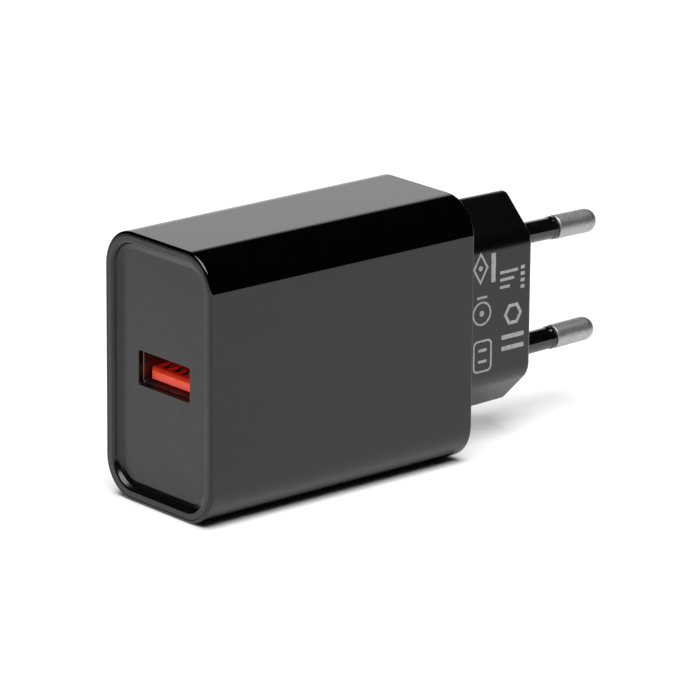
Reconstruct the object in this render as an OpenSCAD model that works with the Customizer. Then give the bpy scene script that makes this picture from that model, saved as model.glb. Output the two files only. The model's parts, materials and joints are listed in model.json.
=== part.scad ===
// A two-pin USB wall charger, built as its separate pieces.
// Lengths are millimetres. X is the charger's thickness, +Y runs from the USB face to the pins, +Z is up.
// The origin is on the surface that the charger stands on, under the middle of its bounding box.

/* [Housing] */
// Thickness of the housing, across X
body_t = 26.4; // [26:0.1:30]
// Depth of the housing, from the rim to the rear face
body_d = 54; // [54:0.5:64]
// Height of the housing
body_h = 44; // [43.8:0.2:54]
// Radius of the four long edges
body_r = 6.4; // [5.5:0.1:6.8]
// Wall of the sleeve
wall = 1.9; // [1.7:0.1:1.9]
// Glossy lip of the sleeve round the front and rear inserts
lip = 0.55; // [0.4:0.05:0.8]
// Gap between an insert and the sleeve
seam = 0.05; // [0.03:0.01:0.1]

/* [Front bezel] */
// Width of the flat rim
rim_w = 1.3; // [0.9:0.1:2]
// Depth of the front panel behind the rim
recess_d = 1.2; // [1:0.1:1.8]
// Thickness of the bezel, rim to back
bezel_t = 3.5; // [3.3:0.1:4.5]
// Length of the skirts that locate the inserts in the sleeve
skirt_l = 3; // [1.5:0.1:3]
// Thickness of the skirts
skirt_t = 1.2; // [0.8:0.1:1.2]

/* [Plug] */
// Length of the plug nose behind the housing
plug_l = 18.6; // [18:0.1:24]
// Thickness of the plug nose
plug_t = 13.6; // [13:0.1:14.4]
// Height of the plug nose over its two ridges
plug_h = 36; // [34.6:0.1:36]
// Radius of the two ridges
ridge_r = 1.5; // [0.6:0.1:1.8]
// Radius of the four side creases
crease_r = 4; // [1:0.1:4.5]
// Wall of the plug nose
plug_wall = 2; // [1.6:0.1:2.1]
// Thickness of the plug's end wall
plug_end = 3; // [2.5:0.1:4]

/* [Pins] */
// Distance between the pin axes at the plug's end face
pin_spacing = 19.2; // [18:0.1:19.2]
// Lean of each pin towards the other, in degrees
pin_lean = 0.8; // [0:0.1:1.2]
// Length of a pin out of the plug
pin_l = 19.8; // [18.5:0.1:20.4]
// Diameter of the bare end of a pin
pin_dia = 4; // [3.94:0.01:4.06]
// Length of the insulated stretch of a pin
sleeve_l = 10.8; // [10:0.1:11]
// Diameter of the insulation
sleeve_dia = 3.68; // [3.6:0.02:3.68]
// Diameter of the pin inside its insulation
core_dia = 3; // [2.6:0.1:3.2]

/* [USB socket] */
// Width of the opening in the front panel
port_w = 12.6; // [12.5:0.1:13]
// Height of the opening in the front panel
port_h = 5.5; // [5.3:0.1:5.8]
// Width inside the metal shell
shell_w = 12.5; // [12.4:0.05:12.6]
// Height inside the metal shell
shell_h = 5.12; // [5.1:0.01:5.2]
// Thickness of the shell's sheet
sheet_t = 0.3; // [0.2:0.05:0.3]
// Length of the shell
shell_l = 14; // [13:0.1:14]
// Width of the contact tongue
tongue_w = 11.1; // [10.8:0.1:11.3]
// Thickness of the contact tongue
tongue_t = 1.84; // [1.7:0.02:1.9]

/* [Circuit board] */
// Thickness of the board
board_t = 1.2; // [1:0.1:1.6]
// Height of the board
board_h = 38.8; // [38:0.1:38.8]
// Diameter of an input capacitor
input_cap_dia = 10; // [8:0.5:10]
// Height of an input capacitor
input_cap_h = 16.5; // [12:0.5:16.5]
// Diameter of an output capacitor
output_cap_dia = 8; // [6.3:0.1:8.5]
// Height of an output capacitor
output_cap_h = 11.5; // [8:0.5:12]
// Radius of a component lead
lead_r = 0.35; // [0.25:0.05:0.4]

/* [Hidden] */
$fn = 64;

// Colours
gloss_black = [0.03, 0.03, 0.03];
satin_black = [0.09, 0.09, 0.09];
nickel = [0.75, 0.74, 0.72];
brass_strip = [0.8, 0.65, 0.3];
gold = [0.9, 0.7, 0.25];
tin = [0.8, 0.8, 0.82];
orange = [0.93, 0.27, 0.1];
board_green = [0.05, 0.3, 0.15];
ferrite = [0.2, 0.2, 0.21];
copper = [0.75, 0.4, 0.2];
tape_yellow = [0.9, 0.75, 0.2];
can_brown = [0.25, 0.13, 0.07];
can_silver = [0.72, 0.73, 0.75];
disc_blue = [0.1, 0.3, 0.65];
chip_black = [0.06, 0.06, 0.07];
sheet_amber = [0.75, 0.5, 0.15];

// Overlap of a cut past a face, so that no skin is left
cut = 1;

// Where things are along Y, counted from the rim, and the whole length
rear_plate_t = 2.5;
rear_plate_y = body_d - rear_plate_t;
plug_face_y = body_d + plug_l;
total_l = plug_face_y + pin_l;

// The circuit board stands on edge beside the -X wall, its parts towards +X
board_margin = 0.5;
board_y0 = bezel_t + skirt_l + board_margin;
board_y1 = rear_plate_y - skirt_l - board_margin;
board_face_x = -shell_w / 2 - sheet_t - 0.05;
board_back_x = board_face_x - board_t;
inner_h = body_h - 2 * wall;
inner_wall_x = body_t / 2 - wall;
solder_h = 0.8;
lead_end = -board_t - 1.1;

// Component positions on the board as [along Y from the rim, height from the middle]
output_cap_at = [12.2, 9.6];
input_cap_at = [board_y1 - 5.4, 13.4];
supply_cap_at = [32.5, -14];
inductor_at = [32, 14];
y_cap_at = [22, 13.5];
optocoupler_at = [21.6, -13.5];
transformer_at = [27.4, 0];
bridge_at = [40.5, 0];
fuse_at = [46, 0];
output_cap_pitch = 3.5;
input_cap_pitch = 5;
supply_cap_pitch = 2;
inductor_pitch = 4;
y_cap_pitch = 5;
fuse_pitch = 5;
bridge_pitch = [6.2, 5];
optocoupler_pitch = [7.6, 2.54];

// Transformer: an EE core with its coil lying along Z
core_w = 19.1;
core_half_l = 8.1;
core_t = 4.8;
core_leg = 2.4;
core_window_w = 14.3;
core_z = 8.9;
flange_v = 4.8;
flange_t = 0.8;
bobbin_pin_v = 7.2;
bobbin_pin_pitch = 4;
bobbin_bore = 5;
tube_w = 6.4;
primary_w = 9.8;
secondary_w = 12.2;
taped_w = 12.8;

// USB socket
web_t = 0.9;
shell_y0 = recess_d + web_t + 0.05;
shell_y1 = shell_y0 + shell_l;
tongue_y0 = shell_y0 + 0.75;
tongue_top = -0.1;
insulator_block_l = 4.7;
contact_x = [-3.5, -1, 1, 3.5];
contact_tail_z = [-1, -3, 1, 3];
contact_w = 1;
contact_t = 0.3;
contact_tail_y = shell_y1 + 0.25;
shell_tab_y = [8.8, 13.4];
shell_tab_l = 1.6;

// Terminal strips, from the pin tails to the board
strip_t = 0.6;
strip_w = 2.5;
strip_in = 4.95;
strip_x = -4.2;
strip_y0 = board_y1 - 1.6;
tail_z = -8.5;
tail_r = 1;
boss_depth = 7;
boss_r = 3.3;

// ---- Outlines ----

function unit(v) = v / norm(v);

// The two tangent points, the centre and the radius of one rounded corner
function corner_arc(c, i) =
    let (
        n = len(c),
        p = [c[i].x, c[i].y],
        before = unit([c[(i + n - 1) % n].x, c[(i + n - 1) % n].y] - p),
        after = unit([c[(i + 1) % n].x, c[(i + 1) % n].y] - p),
        half = acos(before * after) / 2,
        r = c[i].z,
        run = r / tan(half)
    )
    [p + before * run, p + after * run, p + unit(before + after) * r / sin(half), r];

// A convex outline from corners [x, y, radius], its corners true arcs
module rounded(corners) {
    arcs = [for (i = [0 : len(corners) - 1]) corner_arc(corners, i)];
    polygon([for (a = arcs, p = [a[0], a[1]]) p]);
    for (a = arcs) translate(a[2]) circle(a[3]);
}

module rounded_rect(w, h, r) {
    rounded([[-w / 2, -h / 2, r], [w / 2, -h / 2, r], [w / 2, h / 2, r], [-w / 2, h / 2, r]]);
}

// The housing's outline, taken in by a distance
module body_outline(inset) {
    rounded_rect(body_t - 2 * inset, body_h - 2 * inset, body_r - inset);
}

// The plug nose's outline, a long hexagon with 45 degree slopes, taken in by a distance
module plug_outline(inset) {
    side = plug_t / 2 - inset;
    apex = plug_h / 2 + ridge_r * (sqrt(2) - 1) - inset * sqrt(2);
    r = max(crease_r - inset, 0.5);
    top = max(ridge_r - inset, 0.5);
    rounded([[0, -apex, top], [side, side - apex, r], [side, apex - side, r],
        [0, apex, top], [-side, apex - side, r], [-side, side - apex, r]]);
}

// ---- Placing ----

// Moves the charger's own frame, rim at y = 0 and middle at z = 0, to the part's frame
module placed() {
    translate([0, -total_l / 2, body_h / 2]) children();
}

// Extrudes an outline drawn in X and Z from y0 to y1
module along_y(y0, y1) {
    translate([0, y1, 0]) rotate([90, 0, 0]) linear_extrude(y1 - y0) children();
}

// The frame of one pin: its axis along +Z, with z = 0 at the plug's end face
module along_pin(side) {
    translate([0, plug_face_y, side * pin_spacing / 2]) rotate([-90 - side * pin_lean, 0, 0]) children();
}

// The frame of a board position: X along the charger, Y up, Z away from the board's face
module on_board(at) {
    translate([board_face_x, at.x, at.y]) rotate([90, 0, 90]) children();
}

// The same on the solder side, with Z away from it
module on_solder_side(at) {
    translate([board_back_x, at.x, at.y]) rotate([90, 0, -90]) children();
}

// ---- Housing ----

// A locating skirt behind an insert
module skirt(y0, y1) {
    along_y(y0, y1) difference() {
        body_outline(wall + seam);
        body_outline(wall + seam + skirt_t);
    }
}

// Two ribs above and below that hold the board's edges
module board_rails() {
    rail_t = 1;
    rail_z = board_h / 2 - 0.8;
    for (side = [-1, 1], x = [board_face_x + 0.05, board_back_x - 0.05 - rail_t])
        translate([x, board_y0, side > 0 ? rail_z : -inner_h / 2 - 0.5])
            cube([rail_t, board_y1 - board_y0, inner_h / 2 + 0.5 - rail_z]);
}

module housing_sleeve() {
    color(gloss_black) placed() {
        difference() {
            along_y(0, body_d) body_outline(0);
            along_y(-cut, body_d + cut) body_outline(wall);
            along_y(-cut, bezel_t) body_outline(lip);
            along_y(rear_plate_y, body_d + cut) body_outline(lip);
        }
        board_rails();
    }
}

// The dished recess: straight sides for a little way, then a slope in to the panel
module front_recess() {
    rim_inset = lip + seam + rim_w;
    straight = 0.4;
    slope = recess_d - straight;
    along_y(-cut, straight) body_outline(rim_inset);
    hull() {
        along_y(straight - 0.01, straight) body_outline(rim_inset, $fn = 32);
        along_y(recess_d - 0.01, recess_d) body_outline(rim_inset + slope, $fn = 32);
    }
}

module front_bezel() {
    seat_gap = 0.2;
    color(satin_black) placed() difference() {
        union() {
            along_y(0, bezel_t) body_outline(lip + seam);
            skirt(bezel_t, bezel_t + skirt_l);
        }
        front_recess();
        along_y(0, bezel_t + cut) square([port_w, port_h], center = true);
        along_y(recess_d + web_t, bezel_t + cut)
            square([shell_w + 2 * sheet_t + seat_gap, shell_h + 2 * sheet_t + seat_gap], center = true);
    }
}

module plug_housing() {
    color(satin_black) placed() difference() {
        union() {
            difference() {
                union() {
                    along_y(rear_plate_y, body_d) body_outline(lip + seam);
                    along_y(rear_plate_y, plug_face_y) plug_outline(0);
                }
                along_y(rear_plate_y - cut, plug_face_y - plug_end) plug_outline(plug_wall);
            }
            skirt(rear_plate_y - skirt_l, rear_plate_y);
            for (side = [-1, 1])
                along_pin(side) translate([0, 0, -boss_depth])
                    cylinder(r = boss_r, h = boss_depth - plug_end / 2);
        }
        for (side = [-1, 1])
            along_pin(side) translate([0, 0, -boss_depth - cut])
                cylinder(d = sleeve_dia, h = boss_depth + 2 * cut);
    }
}

// ---- Pins ----

module contact_pin(side) {
    shoulder = 0.25;
    rivet_t = 0.6;
    rivet_r = 1.6;
    tip_z = pin_l - pin_dia / 2;
    color(nickel) placed() along_pin(side) {
        rotate_extrude() intersection() {
            union() {
                polygon([[0, tail_z], [core_dia / 2, tail_z], [core_dia / 2, sleeve_l],
                    [pin_dia / 2 - shoulder, sleeve_l], [pin_dia / 2, sleeve_l + shoulder],
                    [pin_dia / 2, tip_z], [0, tip_z]]);
                translate([0, tip_z]) circle(d = pin_dia);
            }
            translate([0, tail_z]) square([pin_dia, pin_l - tail_z]);
        }
        translate([0, 0, tail_z - strip_t]) cylinder(r = tail_r, h = strip_t + 0.1);
        translate([0, 0, tail_z - strip_t - rivet_t]) cylinder(r = rivet_r, h = rivet_t);
    }
}

module pin_insulation(side) {
    color(gloss_black) placed() along_pin(side) difference() {
        translate([0, 0, -boss_depth]) cylinder(d = sleeve_dia, h = boss_depth + sleeve_l);
        translate([0, 0, -boss_depth - cut]) cylinder(d = core_dia, h = boss_depth + sleeve_l + 2 * cut);
    }
}

module upper_contact_pin() {
    contact_pin(1);
}

module lower_contact_pin() {
    contact_pin(-1);
}

module upper_pin_insulation() {
    pin_insulation(1);
}

module lower_pin_insulation() {
    pin_insulation(-1);
}

// A stamped strip riveted to the pin's tail and soldered into the board
module terminal_strip(side) {
    eye_r = 2.5;
    arm = pin_spacing / 2 - strip_in;
    run_end = plug_face_y + tail_z - strip_t / 2;
    band_z = side > 0 ? strip_in : -strip_in - strip_w;
    color(brass_strip) placed() {
        along_pin(side) translate([0, 0, tail_z - strip_t]) difference() {
            union() {
                cylinder(r = eye_r, h = strip_t);
                translate([strip_x, side > 0 ? 0 : -arm, 0]) cube([-strip_x, arm, strip_t]);
            }
            translate([0, 0, -cut]) cylinder(r = tail_r, h = strip_t + 2 * cut);
        }
        translate([strip_x, strip_y0, band_z]) cube([strip_t, run_end - strip_y0, strip_w]);
        translate([board_face_x + lead_end, strip_y0, band_z])
            cube([strip_x + strip_t - board_face_x - lead_end, strip_t, strip_w]);
    }
}

module upper_terminal_strip() {
    terminal_strip(1);
}

module lower_terminal_strip() {
    terminal_strip(-1);
}

// ---- Circuit board ----

// The leads of a two-lead part, spread by a pitch along the board or up it
function pair(at, pitch, up) =
    [for (s = [-1, 1]) at + (up ? [0, s * pitch / 2] : [s * pitch / 2, 0])];

// The leads of a four-lead part
function quad(at, pitch) = [for (s = [-1, 1], t = [-1, 1]) at + [s * pitch.x / 2, t * pitch.y / 2]];

function mirrored_up(at) = [at.x, -at.y];

function bobbin_pin_points() =
    [for (s = [-1, 1], i = [-1.5 : 1.5]) transformer_at + [i * bobbin_pin_pitch, s * bobbin_pin_v]];

function contact_tail_points() = [for (z = contact_tail_z) [contact_tail_y + contact_t / 2, z]];

// Every round lead that passes through the board
function lead_points() = concat(
    pair(output_cap_at, output_cap_pitch, true),
    pair(mirrored_up(output_cap_at), output_cap_pitch, true),
    pair(input_cap_at, input_cap_pitch, true),
    pair(mirrored_up(input_cap_at), input_cap_pitch, true),
    pair(supply_cap_at, supply_cap_pitch, false),
    pair(inductor_at, inductor_pitch, false),
    pair(y_cap_at, y_cap_pitch, false),
    pair(fuse_at, fuse_pitch, true),
    quad(bridge_at, bridge_pitch),
    quad(optocoupler_at, optocoupler_pitch),
    bobbin_pin_points(),
    contact_tail_points());

module lead(at) {
    on_board(at) translate([0, 0, lead_end]) cylinder(r = lead_r, h = 0.6 - lead_end);
}

// A rectangular slot through the board
module slot(at, size) {
    on_board(at) translate([0, 0, -board_t - cut])
        linear_extrude(board_t + 2 * cut) square(size, center = true);
}

module main_board() {
    hole_gap = 0.1;
    strip_middle = strip_in + strip_w / 2;
    color(board_green) placed() difference() {
        translate([board_back_x, board_y0, -board_h / 2]) cube([board_t, board_y1 - board_y0, board_h]);
        for (at = lead_points())
            on_board(at) translate([0, 0, -board_t - cut])
                cylinder(r = lead_r + hole_gap, h = board_t + 2 * cut);
        for (side = [-1, 1]) {
            slot([strip_y0 + strip_t / 2, side * strip_middle],
                [strip_t + 2 * hole_gap, strip_w + 2 * hole_gap]);
            for (y = shell_tab_y)
                slot([y, side * (shell_h + sheet_t) / 2],
                    [shell_tab_l + 2 * hole_gap, sheet_t + 2 * hole_gap]);
        }
    }
}

// An adhesive sheet on the housing wall behind the solder side
module insulation_sheet() {
    sheet_gap = 1.2;
    film_t = 0.3;
    film_h = 2 * floor(inner_h / 2 - body_r + wall) - 1;
    color(sheet_amber) placed() translate([-inner_wall_x, board_y0 + sheet_gap, -film_h / 2])
        cube([film_t, board_y1 - board_y0 - 2 * sheet_gap, film_h]);
}

// One cone of solder round each lead on the back of the board
module solder_joints() {
    foot_r = 0.9;
    neck_r = 0.5;
    color(tin) placed() for (at = lead_points())
        on_board(at) difference() {
            translate([0, 0, -board_t - solder_h]) cylinder(r1 = neck_r, r2 = foot_r, h = solder_h);
            translate([0, 0, -board_t - solder_h - cut]) cylinder(r = lead_r, h = solder_h + 2 * cut);
        }
}

// ---- USB socket ----

module usb_shell() {
    window_l = 5;
    window_w = 2.2;
    spring_y = shell_y0 + 3;
    color(tin) placed() {
        difference() {
            along_y(shell_y0, shell_y1) difference() {
                square([shell_w + 2 * sheet_t, shell_h + 2 * sheet_t], center = true);
                square([shell_w, shell_h], center = true);
            }
            for (x = [-3, 3])
                translate([x - window_w / 2, spring_y, -shell_h]) cube([window_w, window_l, 2 * shell_h]);
        }
        // A spring finger in each window, leaning into the socket
        for (x = [-3, 3], side = [-1, 1])
            translate([x - 0.7, spring_y + window_l + 0.3, side * (shell_h + sheet_t) / 2])
                rotate([side * 3.5, 0, 0]) translate([0, -4.6, -sheet_t / 2]) cube([1.4, 4.6, sheet_t]);
        for (y = shell_tab_y, side = [-1, 1])
            on_board([y, side * (shell_h + sheet_t) / 2]) translate([0, 0, lead_end])
                linear_extrude(0.2 - lead_end) square([shell_tab_l, sheet_t], center = true);
    }
}

// The tongue and the block that carries it, one moulding with four contact grooves
module usb_insulator() {
    chamfer = 0.5;
    block_y0 = shell_y1 - insulator_block_l;
    groove_w = contact_w + 0.1;
    bottom = tongue_top - tongue_t;
    color(orange) placed() difference() {
        union() {
            translate([-shell_w / 2, block_y0, -shell_h / 2]) cube([shell_w, insulator_block_l, shell_h]);
            intersection() {
                // Side view: the top front edge is chamfered
                translate([-tongue_w / 2, 0, 0]) rotate([90, 0, 90]) linear_extrude(tongue_w)
                    polygon([[tongue_y0, bottom], [block_y0 + cut, bottom], [block_y0 + cut, tongue_top],
                        [tongue_y0 + chamfer, tongue_top], [tongue_y0, tongue_top - chamfer]]);
                // Plan view: the two front corners are chamfered
                translate([0, 0, bottom]) linear_extrude(tongue_t)
                    polygon([[-tongue_w / 2, block_y0 + cut], [-tongue_w / 2, tongue_y0 + chamfer],
                        [-tongue_w / 2 + chamfer, tongue_y0], [tongue_w / 2 - chamfer, tongue_y0],
                        [tongue_w / 2, tongue_y0 + chamfer], [tongue_w / 2, block_y0 + cut]]);
            }
        }
        for (x = contact_x)
            translate([x - groove_w / 2, tongue_y0 + 2 * chamfer, tongue_top - contact_t])
                cube([groove_w, shell_l, contact_t]);
    }
}

// Four sprung strips in the grooves, each with a tail down to the board
module usb_contacts() {
    start_y = tongue_y0 + 1.2;
    bow = [[0.3, -0.05], [1.5, 0.4], [2.5, 0.4], [5, -0.05]];
    bow_w = 0.8;
    tail_w = 0.5;
    color(gold) placed() for (i = [0 : len(contact_x) - 1]) {
        x = contact_x[i];
        tail = contact_tail_z[i];
        low = tongue_top - contact_t;
        foot = min(low, tail - tail_w / 2);
        head = max(tongue_top, tail + tail_w / 2);
        translate([x - contact_w / 2, start_y, low])
            cube([contact_w, contact_tail_y + contact_t - start_y, contact_t]);
        translate([x - bow_w / 2, 0, 0]) rotate([90, 0, 90]) linear_extrude(bow_w)
            polygon([for (p = bow) [start_y + p.x, tongue_top + p.y]]);
        translate([x - contact_w / 2, contact_tail_y, foot]) cube([contact_w, contact_t, head - foot]);
        translate([board_face_x + lead_end, contact_tail_y, tail - tail_w / 2])
            cube([x - board_face_x - lead_end, contact_t, tail_w]);
    }
}

// ---- Transformer ----

// Half of the EE core, its legs meeting the other half in the middle
module core_half(side) {
    window_w = (core_window_w - core_t) / 2;
    window_l = core_half_l - core_leg;
    color(ferrite) placed() on_board(transformer_at) translate([0, 0, core_z - core_t / 2])
        linear_extrude(core_t) difference() {
            translate([-core_w / 2, side > 0 ? 0 : -core_half_l]) square([core_w, core_half_l]);
            for (s = [-1, 1])
                translate([s * (core_t + window_w) / 2 - window_w / 2, side > 0 ? -cut : -window_l])
                    square([window_w, window_l + cut]);
        }
}

module transformer_core_upper() {
    core_half(1);
}

module transformer_core_lower() {
    core_half(-1);
}

// A square ring round the coil's axis, between two distances along it
module coil_ring(v0, v1, outer_w, outer_r, inner_w, inner_r) {
    placed() on_board(transformer_at) translate([0, v1, core_z]) rotate([90, 0, 0])
        linear_extrude(v1 - v0) difference() {
            rounded_rect(outer_w, outer_w, outer_r);
            rounded_rect(inner_w, inner_w, inner_r);
        }
}

module transformer_bobbin() {
    flange_w = 13.6;
    rail_w = 17;
    rail_end = 8.7;
    rail_top = core_z - core_t / 2 - 0.1;
    rail_foot = 0.3;
    pin_depth = 3;
    color(chip_black) {
        coil_ring(-flange_v, flange_v, tube_w, 0.4, bobbin_bore, 0.2);
        for (side = [-1, 1])
            coil_ring(side > 0 ? flange_v : -flange_v - flange_t, side > 0 ? flange_v + flange_t : -flange_v,
                flange_w, 0.6, bobbin_bore, 0.2);
        placed() difference() {
            for (side = [-1, 1])
                on_board(transformer_at) translate([-rail_w / 2, side > 0 ? flange_v : -rail_end, rail_foot])
                    cube([rail_w, rail_end - flange_v, rail_top - rail_foot]);
            for (at = bobbin_pin_points())
                on_board(at) translate([0, 0, -cut]) cylinder(r = lead_r, h = pin_depth + cut);
        }
    }
}

module transformer_pins() {
    pin_top = 3;
    color(tin) placed() for (at = bobbin_pin_points())
        on_board(at) translate([0, 0, lead_end]) cylinder(r = lead_r, h = pin_top - lead_end);
}

module primary_winding() {
    color(copper) coil_ring(-flange_v, flange_v, primary_w, 1.6, tube_w, 0.4);
}

module secondary_winding() {
    color(copper) coil_ring(-flange_v, flange_v, secondary_w, 2.6, primary_w, 1.6);
}

module transformer_tape() {
    color(tape_yellow) coil_ring(-flange_v, flange_v, taped_w, 2.9, secondary_w, 2.6);
}

// ---- Capacitors and other leaded parts ----

// An electrolytic can with a rolled groove at its foot and a bevelled top
module can(at, dia, h, leads, shade) {
    r = dia / 2;
    foot = 0.2;
    bevel = 0.5;
    color(shade) placed() {
        on_board(at) rotate_extrude()
            polygon([[0, foot], [r, foot], [r, foot + 1], [r - bevel, foot + 1.4], [r - bevel, foot + 1.9],
                [r, foot + 2.3], [r, h - bevel], [r - bevel, h], [0, h]]);
        for (p = leads) lead(p);
    }
}

module input_capacitor_upper() {
    can(input_cap_at, input_cap_dia, input_cap_h, pair(input_cap_at, input_cap_pitch, true), can_brown);
}

module input_capacitor_lower() {
    at = mirrored_up(input_cap_at);
    can(at, input_cap_dia, input_cap_h, pair(at, input_cap_pitch, true), can_brown);
}

module output_capacitor_upper() {
    can(output_cap_at, output_cap_dia, output_cap_h, pair(output_cap_at, output_cap_pitch, true), can_silver);
}

module output_capacitor_lower() {
    at = mirrored_up(output_cap_at);
    can(at, output_cap_dia, output_cap_h, pair(at, output_cap_pitch, true), can_silver);
}

module supply_capacitor() {
    can(supply_cap_at, 5, 11, pair(supply_cap_at, supply_cap_pitch, false), can_brown);
}

// A ceramic disc standing on its edge
module y_capacitor() {
    disc_r = 3.8;
    disc_t = 3.4;
    edge = 0.8;
    color(disc_blue) placed() {
        on_board(y_cap_at) translate([0, 0, disc_r + 0.2]) rotate([90, 0, 0]) rotate_extrude()
            polygon([[0, -disc_t / 2], [disc_r - edge, -disc_t / 2], [disc_r, -disc_t / 2 + edge],
                [disc_r, disc_t / 2 - edge], [disc_r - edge, disc_t / 2], [0, disc_t / 2]]);
        for (p = pair(y_cap_at, y_cap_pitch, false))
            on_board(p) translate([0, 0, lead_end]) cylinder(r = lead_r, h = disc_r - lead_end);
    }
}

// A wire-wound drum in heat-shrink tube
module input_inductor() {
    drum_r = 3.6;
    drum_h = 9.5;
    flange = 1.2;
    neck = 0.3;
    color(chip_black) placed() {
        on_board(inductor_at) rotate_extrude()
            polygon([[0, 0.2], [drum_r, 0.2], [drum_r, flange], [drum_r - neck, flange + neck],
                [drum_r - neck, drum_h - flange - neck], [drum_r, drum_h - flange],
                [drum_r, drum_h], [0, drum_h]]);
        for (p = pair(inductor_at, inductor_pitch, false)) lead(p);
    }
}

module input_fuse() {
    fuse_w = 3.8;
    fuse_l = 8.2;
    fuse_h = 8;
    color(chip_black) placed() {
        on_board(fuse_at) translate([0, 0, 0.2]) linear_extrude(fuse_h) rounded_rect(fuse_w, fuse_l, 0.5);
        for (p = pair(fuse_at, fuse_pitch, true)) lead(p);
    }
}

// A moulded package with one leg at each corner, standing clear of the board
module four_leg_package(at, size, pitch) {
    standoff = 0.5;
    leg_w = 0.6;
    shoulder_z = standoff + size.z / 2;
    color(chip_black) placed() {
        on_board(at) translate([-size.x / 2, -size.y / 2, standoff]) cube(size);
        for (p = quad(at, pitch)) {
            on_board(p) translate([0, 0, lead_end]) cylinder(r = lead_r, h = shoulder_z - lead_end);
            reach = abs(p.x - at.x) - size.x / 2;
            if (reach > 0)
                on_board(p) translate([p.x < at.x ? 0 : -reach - 0.1, -leg_w / 2, shoulder_z - lead_r])
                    cube([reach + 0.1, leg_w, lead_r]);
        }
    }
}

module bridge_rectifier() {
    four_leg_package(bridge_at, [5.4, 8.2, 3.2], bridge_pitch);
}

module optocoupler() {
    four_leg_package(optocoupler_at, [6.4, 4.6, 3.4], optocoupler_pitch);
}

// ---- Surface-mounted parts on the solder side ----

// A chip with gull-wing leads along its two long sides
module gull_wing_chip(at, size, per_side, pitch) {
    foot_l = 1;
    foot_w = 0.4;
    foot_t = 0.2;
    clear = 0.1;
    color(chip_black) placed() on_solder_side(at) {
        translate([-size.x / 2, -size.y / 2, clear]) cube(size);
        for (i = [0 : per_side - 1], side = [-1, 1]) {
            x = (i - (per_side - 1) / 2) * pitch - foot_w / 2;
            edge = side * size.y / 2;
            translate([x, side > 0 ? edge : edge - foot_l, 0]) cube([foot_w, foot_l, foot_t]);
            translate([x, side > 0 ? edge : edge - foot_t, 0]) cube([foot_w, foot_t, size.z / 2]);
        }
    }
}

module controller_chip() {
    gull_wing_chip([31.5, 2], [4.9, 3.9, 1.5], 4, 1.27);
}

module sync_rectifier_chip() {
    gull_wing_chip([20.5, 2.5], [4.9, 3.9, 1.5], 4, 1.27);
}

module protocol_chip() {
    gull_wing_chip([11, -4.6], [2.9, 1.6, 1.1], 3, 0.95);
}

// Small two-terminal parts, all alike, as one group
module chip_row(positions, size, shade) {
    color(shade) placed() for (at = positions)
        on_solder_side(at) translate([-size.x / 2, -size.y / 2, 0]) cube(size);
}

module chip_resistors() {
    row = [for (i = [0 : 4]) [24.6 + 2.6 * i, 10.3]];
    column = [for (i = [0 : 2]) [28.4, -11 - 2.2 * i]];
    chip_row(concat(row, column), [1.6, 0.8, 0.5], chip_black);
}

module chip_capacitors() {
    row = [for (i = [0 : 3]) [27 + 2.8 * i, -9.8]];
    front = [for (i = [0 : 1]) [9.2 + 3 * i, 4.8]];
    chip_row(concat(row, front), [2, 1.25, 1], can_brown);
}

housing_sleeve();
front_bezel();
plug_housing();
upper_contact_pin();
lower_contact_pin();
upper_pin_insulation();
lower_pin_insulation();
upper_terminal_strip();
lower_terminal_strip();
main_board();
insulation_sheet();
solder_joints();
usb_shell();
usb_insulator();
usb_contacts();
transformer_core_upper();
transformer_core_lower();
transformer_bobbin();
transformer_pins();
primary_winding();
secondary_winding();
transformer_tape();
input_capacitor_upper();
input_capacitor_lower();
output_capacitor_upper();
output_capacitor_lower();
supply_capacitor();
y_capacitor();
input_inductor();
input_fuse();
bridge_rectifier();
optocoupler();
controller_chip();
sync_rectifier_chip();
protocol_chip();
chip_resistors();
chip_capacitors();
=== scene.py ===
"""The looks of a two-pin USB wall charger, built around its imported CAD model.

Shapes are laid out in millimetres in the charger's own frame: X across its thickness, Y from the rim of
the front panel towards the pins, Z up from its middle. to_row() turns them into the row frame, in metres.
"""
import json
import math

import bmesh
import bpy
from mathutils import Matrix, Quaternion, Vector


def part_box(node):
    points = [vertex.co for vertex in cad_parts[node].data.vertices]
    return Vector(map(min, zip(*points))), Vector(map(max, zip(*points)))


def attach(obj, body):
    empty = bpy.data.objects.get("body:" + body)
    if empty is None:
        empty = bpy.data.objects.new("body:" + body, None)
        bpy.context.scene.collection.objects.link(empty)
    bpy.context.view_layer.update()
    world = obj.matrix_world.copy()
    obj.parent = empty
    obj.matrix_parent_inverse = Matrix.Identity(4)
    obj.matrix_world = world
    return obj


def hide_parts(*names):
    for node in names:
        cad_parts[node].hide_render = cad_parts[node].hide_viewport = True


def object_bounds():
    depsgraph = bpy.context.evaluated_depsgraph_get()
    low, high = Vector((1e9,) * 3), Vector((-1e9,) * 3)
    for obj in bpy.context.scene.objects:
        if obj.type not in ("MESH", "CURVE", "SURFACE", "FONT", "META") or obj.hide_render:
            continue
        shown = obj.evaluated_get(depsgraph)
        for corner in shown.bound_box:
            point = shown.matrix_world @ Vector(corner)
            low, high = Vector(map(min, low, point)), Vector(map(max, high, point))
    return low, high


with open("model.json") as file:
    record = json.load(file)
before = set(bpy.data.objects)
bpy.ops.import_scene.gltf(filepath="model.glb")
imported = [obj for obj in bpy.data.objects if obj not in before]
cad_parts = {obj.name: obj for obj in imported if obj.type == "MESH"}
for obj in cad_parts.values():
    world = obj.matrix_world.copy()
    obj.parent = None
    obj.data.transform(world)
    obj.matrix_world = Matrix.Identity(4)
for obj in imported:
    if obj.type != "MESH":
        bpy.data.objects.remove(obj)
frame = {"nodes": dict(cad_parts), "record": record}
nodes = frame["nodes"]
mounts = {m["name"]: m for m in frame["record"]["mounts"]}
cad_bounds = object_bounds()

MM = 0.001

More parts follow.
